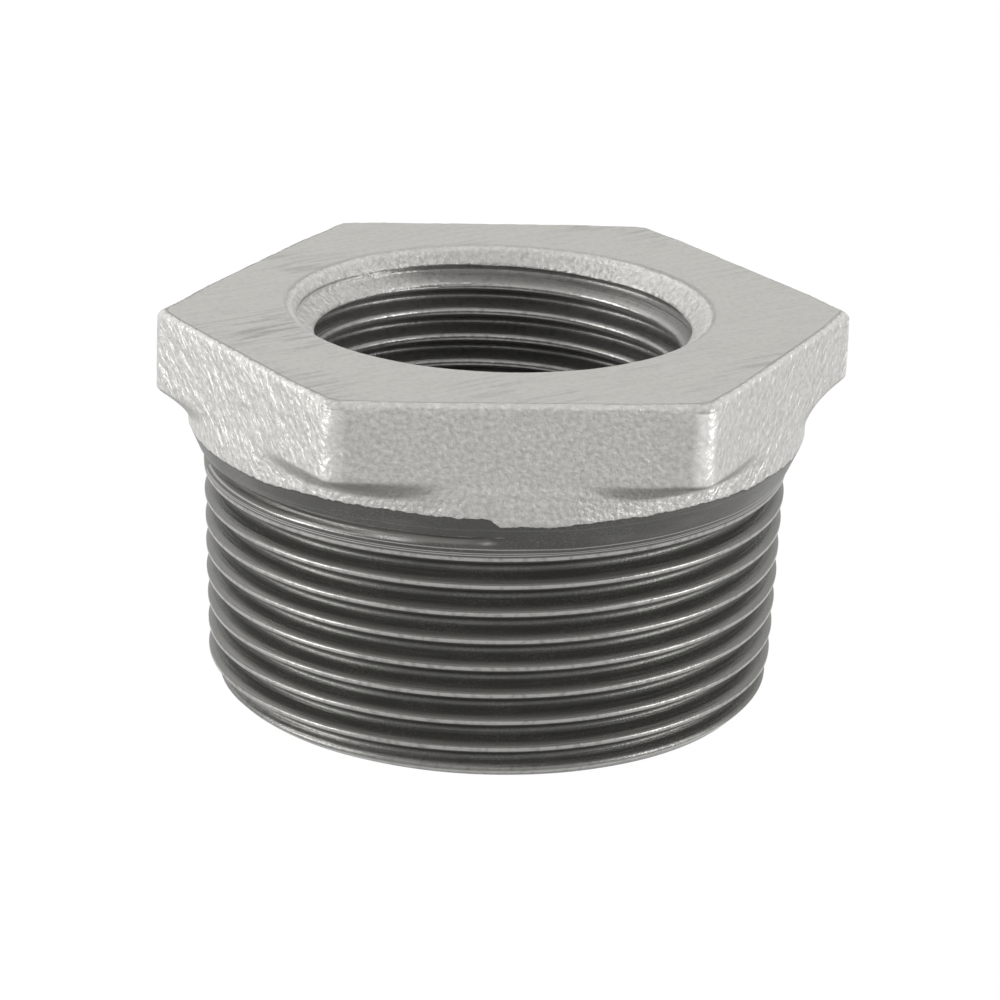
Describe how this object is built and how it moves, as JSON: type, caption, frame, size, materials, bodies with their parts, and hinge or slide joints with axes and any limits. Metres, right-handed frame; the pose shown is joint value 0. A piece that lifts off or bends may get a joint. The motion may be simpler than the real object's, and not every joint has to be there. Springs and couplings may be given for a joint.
{
  "type": "hex bushing",
  "caption": "Hexagon-headed reducing bushing of galvanised malleable iron, with a taper pipe thread outside and a smaller parallel pipe thread in its bore.",
  "frame": {"origin": "middle of the threaded end face, on the bore's axis, where the bushing stands", "axes": "+Z along the axis from the threaded end up to the hexagon head's top face; +X through one corner of the hexagon; +Y square to one pair of flats"},
  "size_m": [0.0568, 0.0502, 0.0318],
  "materials": {
    "galvanised_iron": "hot-dip zinc, matt to satin, with bare machined metal in the threads"
  },
  "bodies": {
    "root": {"hex_bushing": "galvanised_iron"}
  },
  "joints": []
}
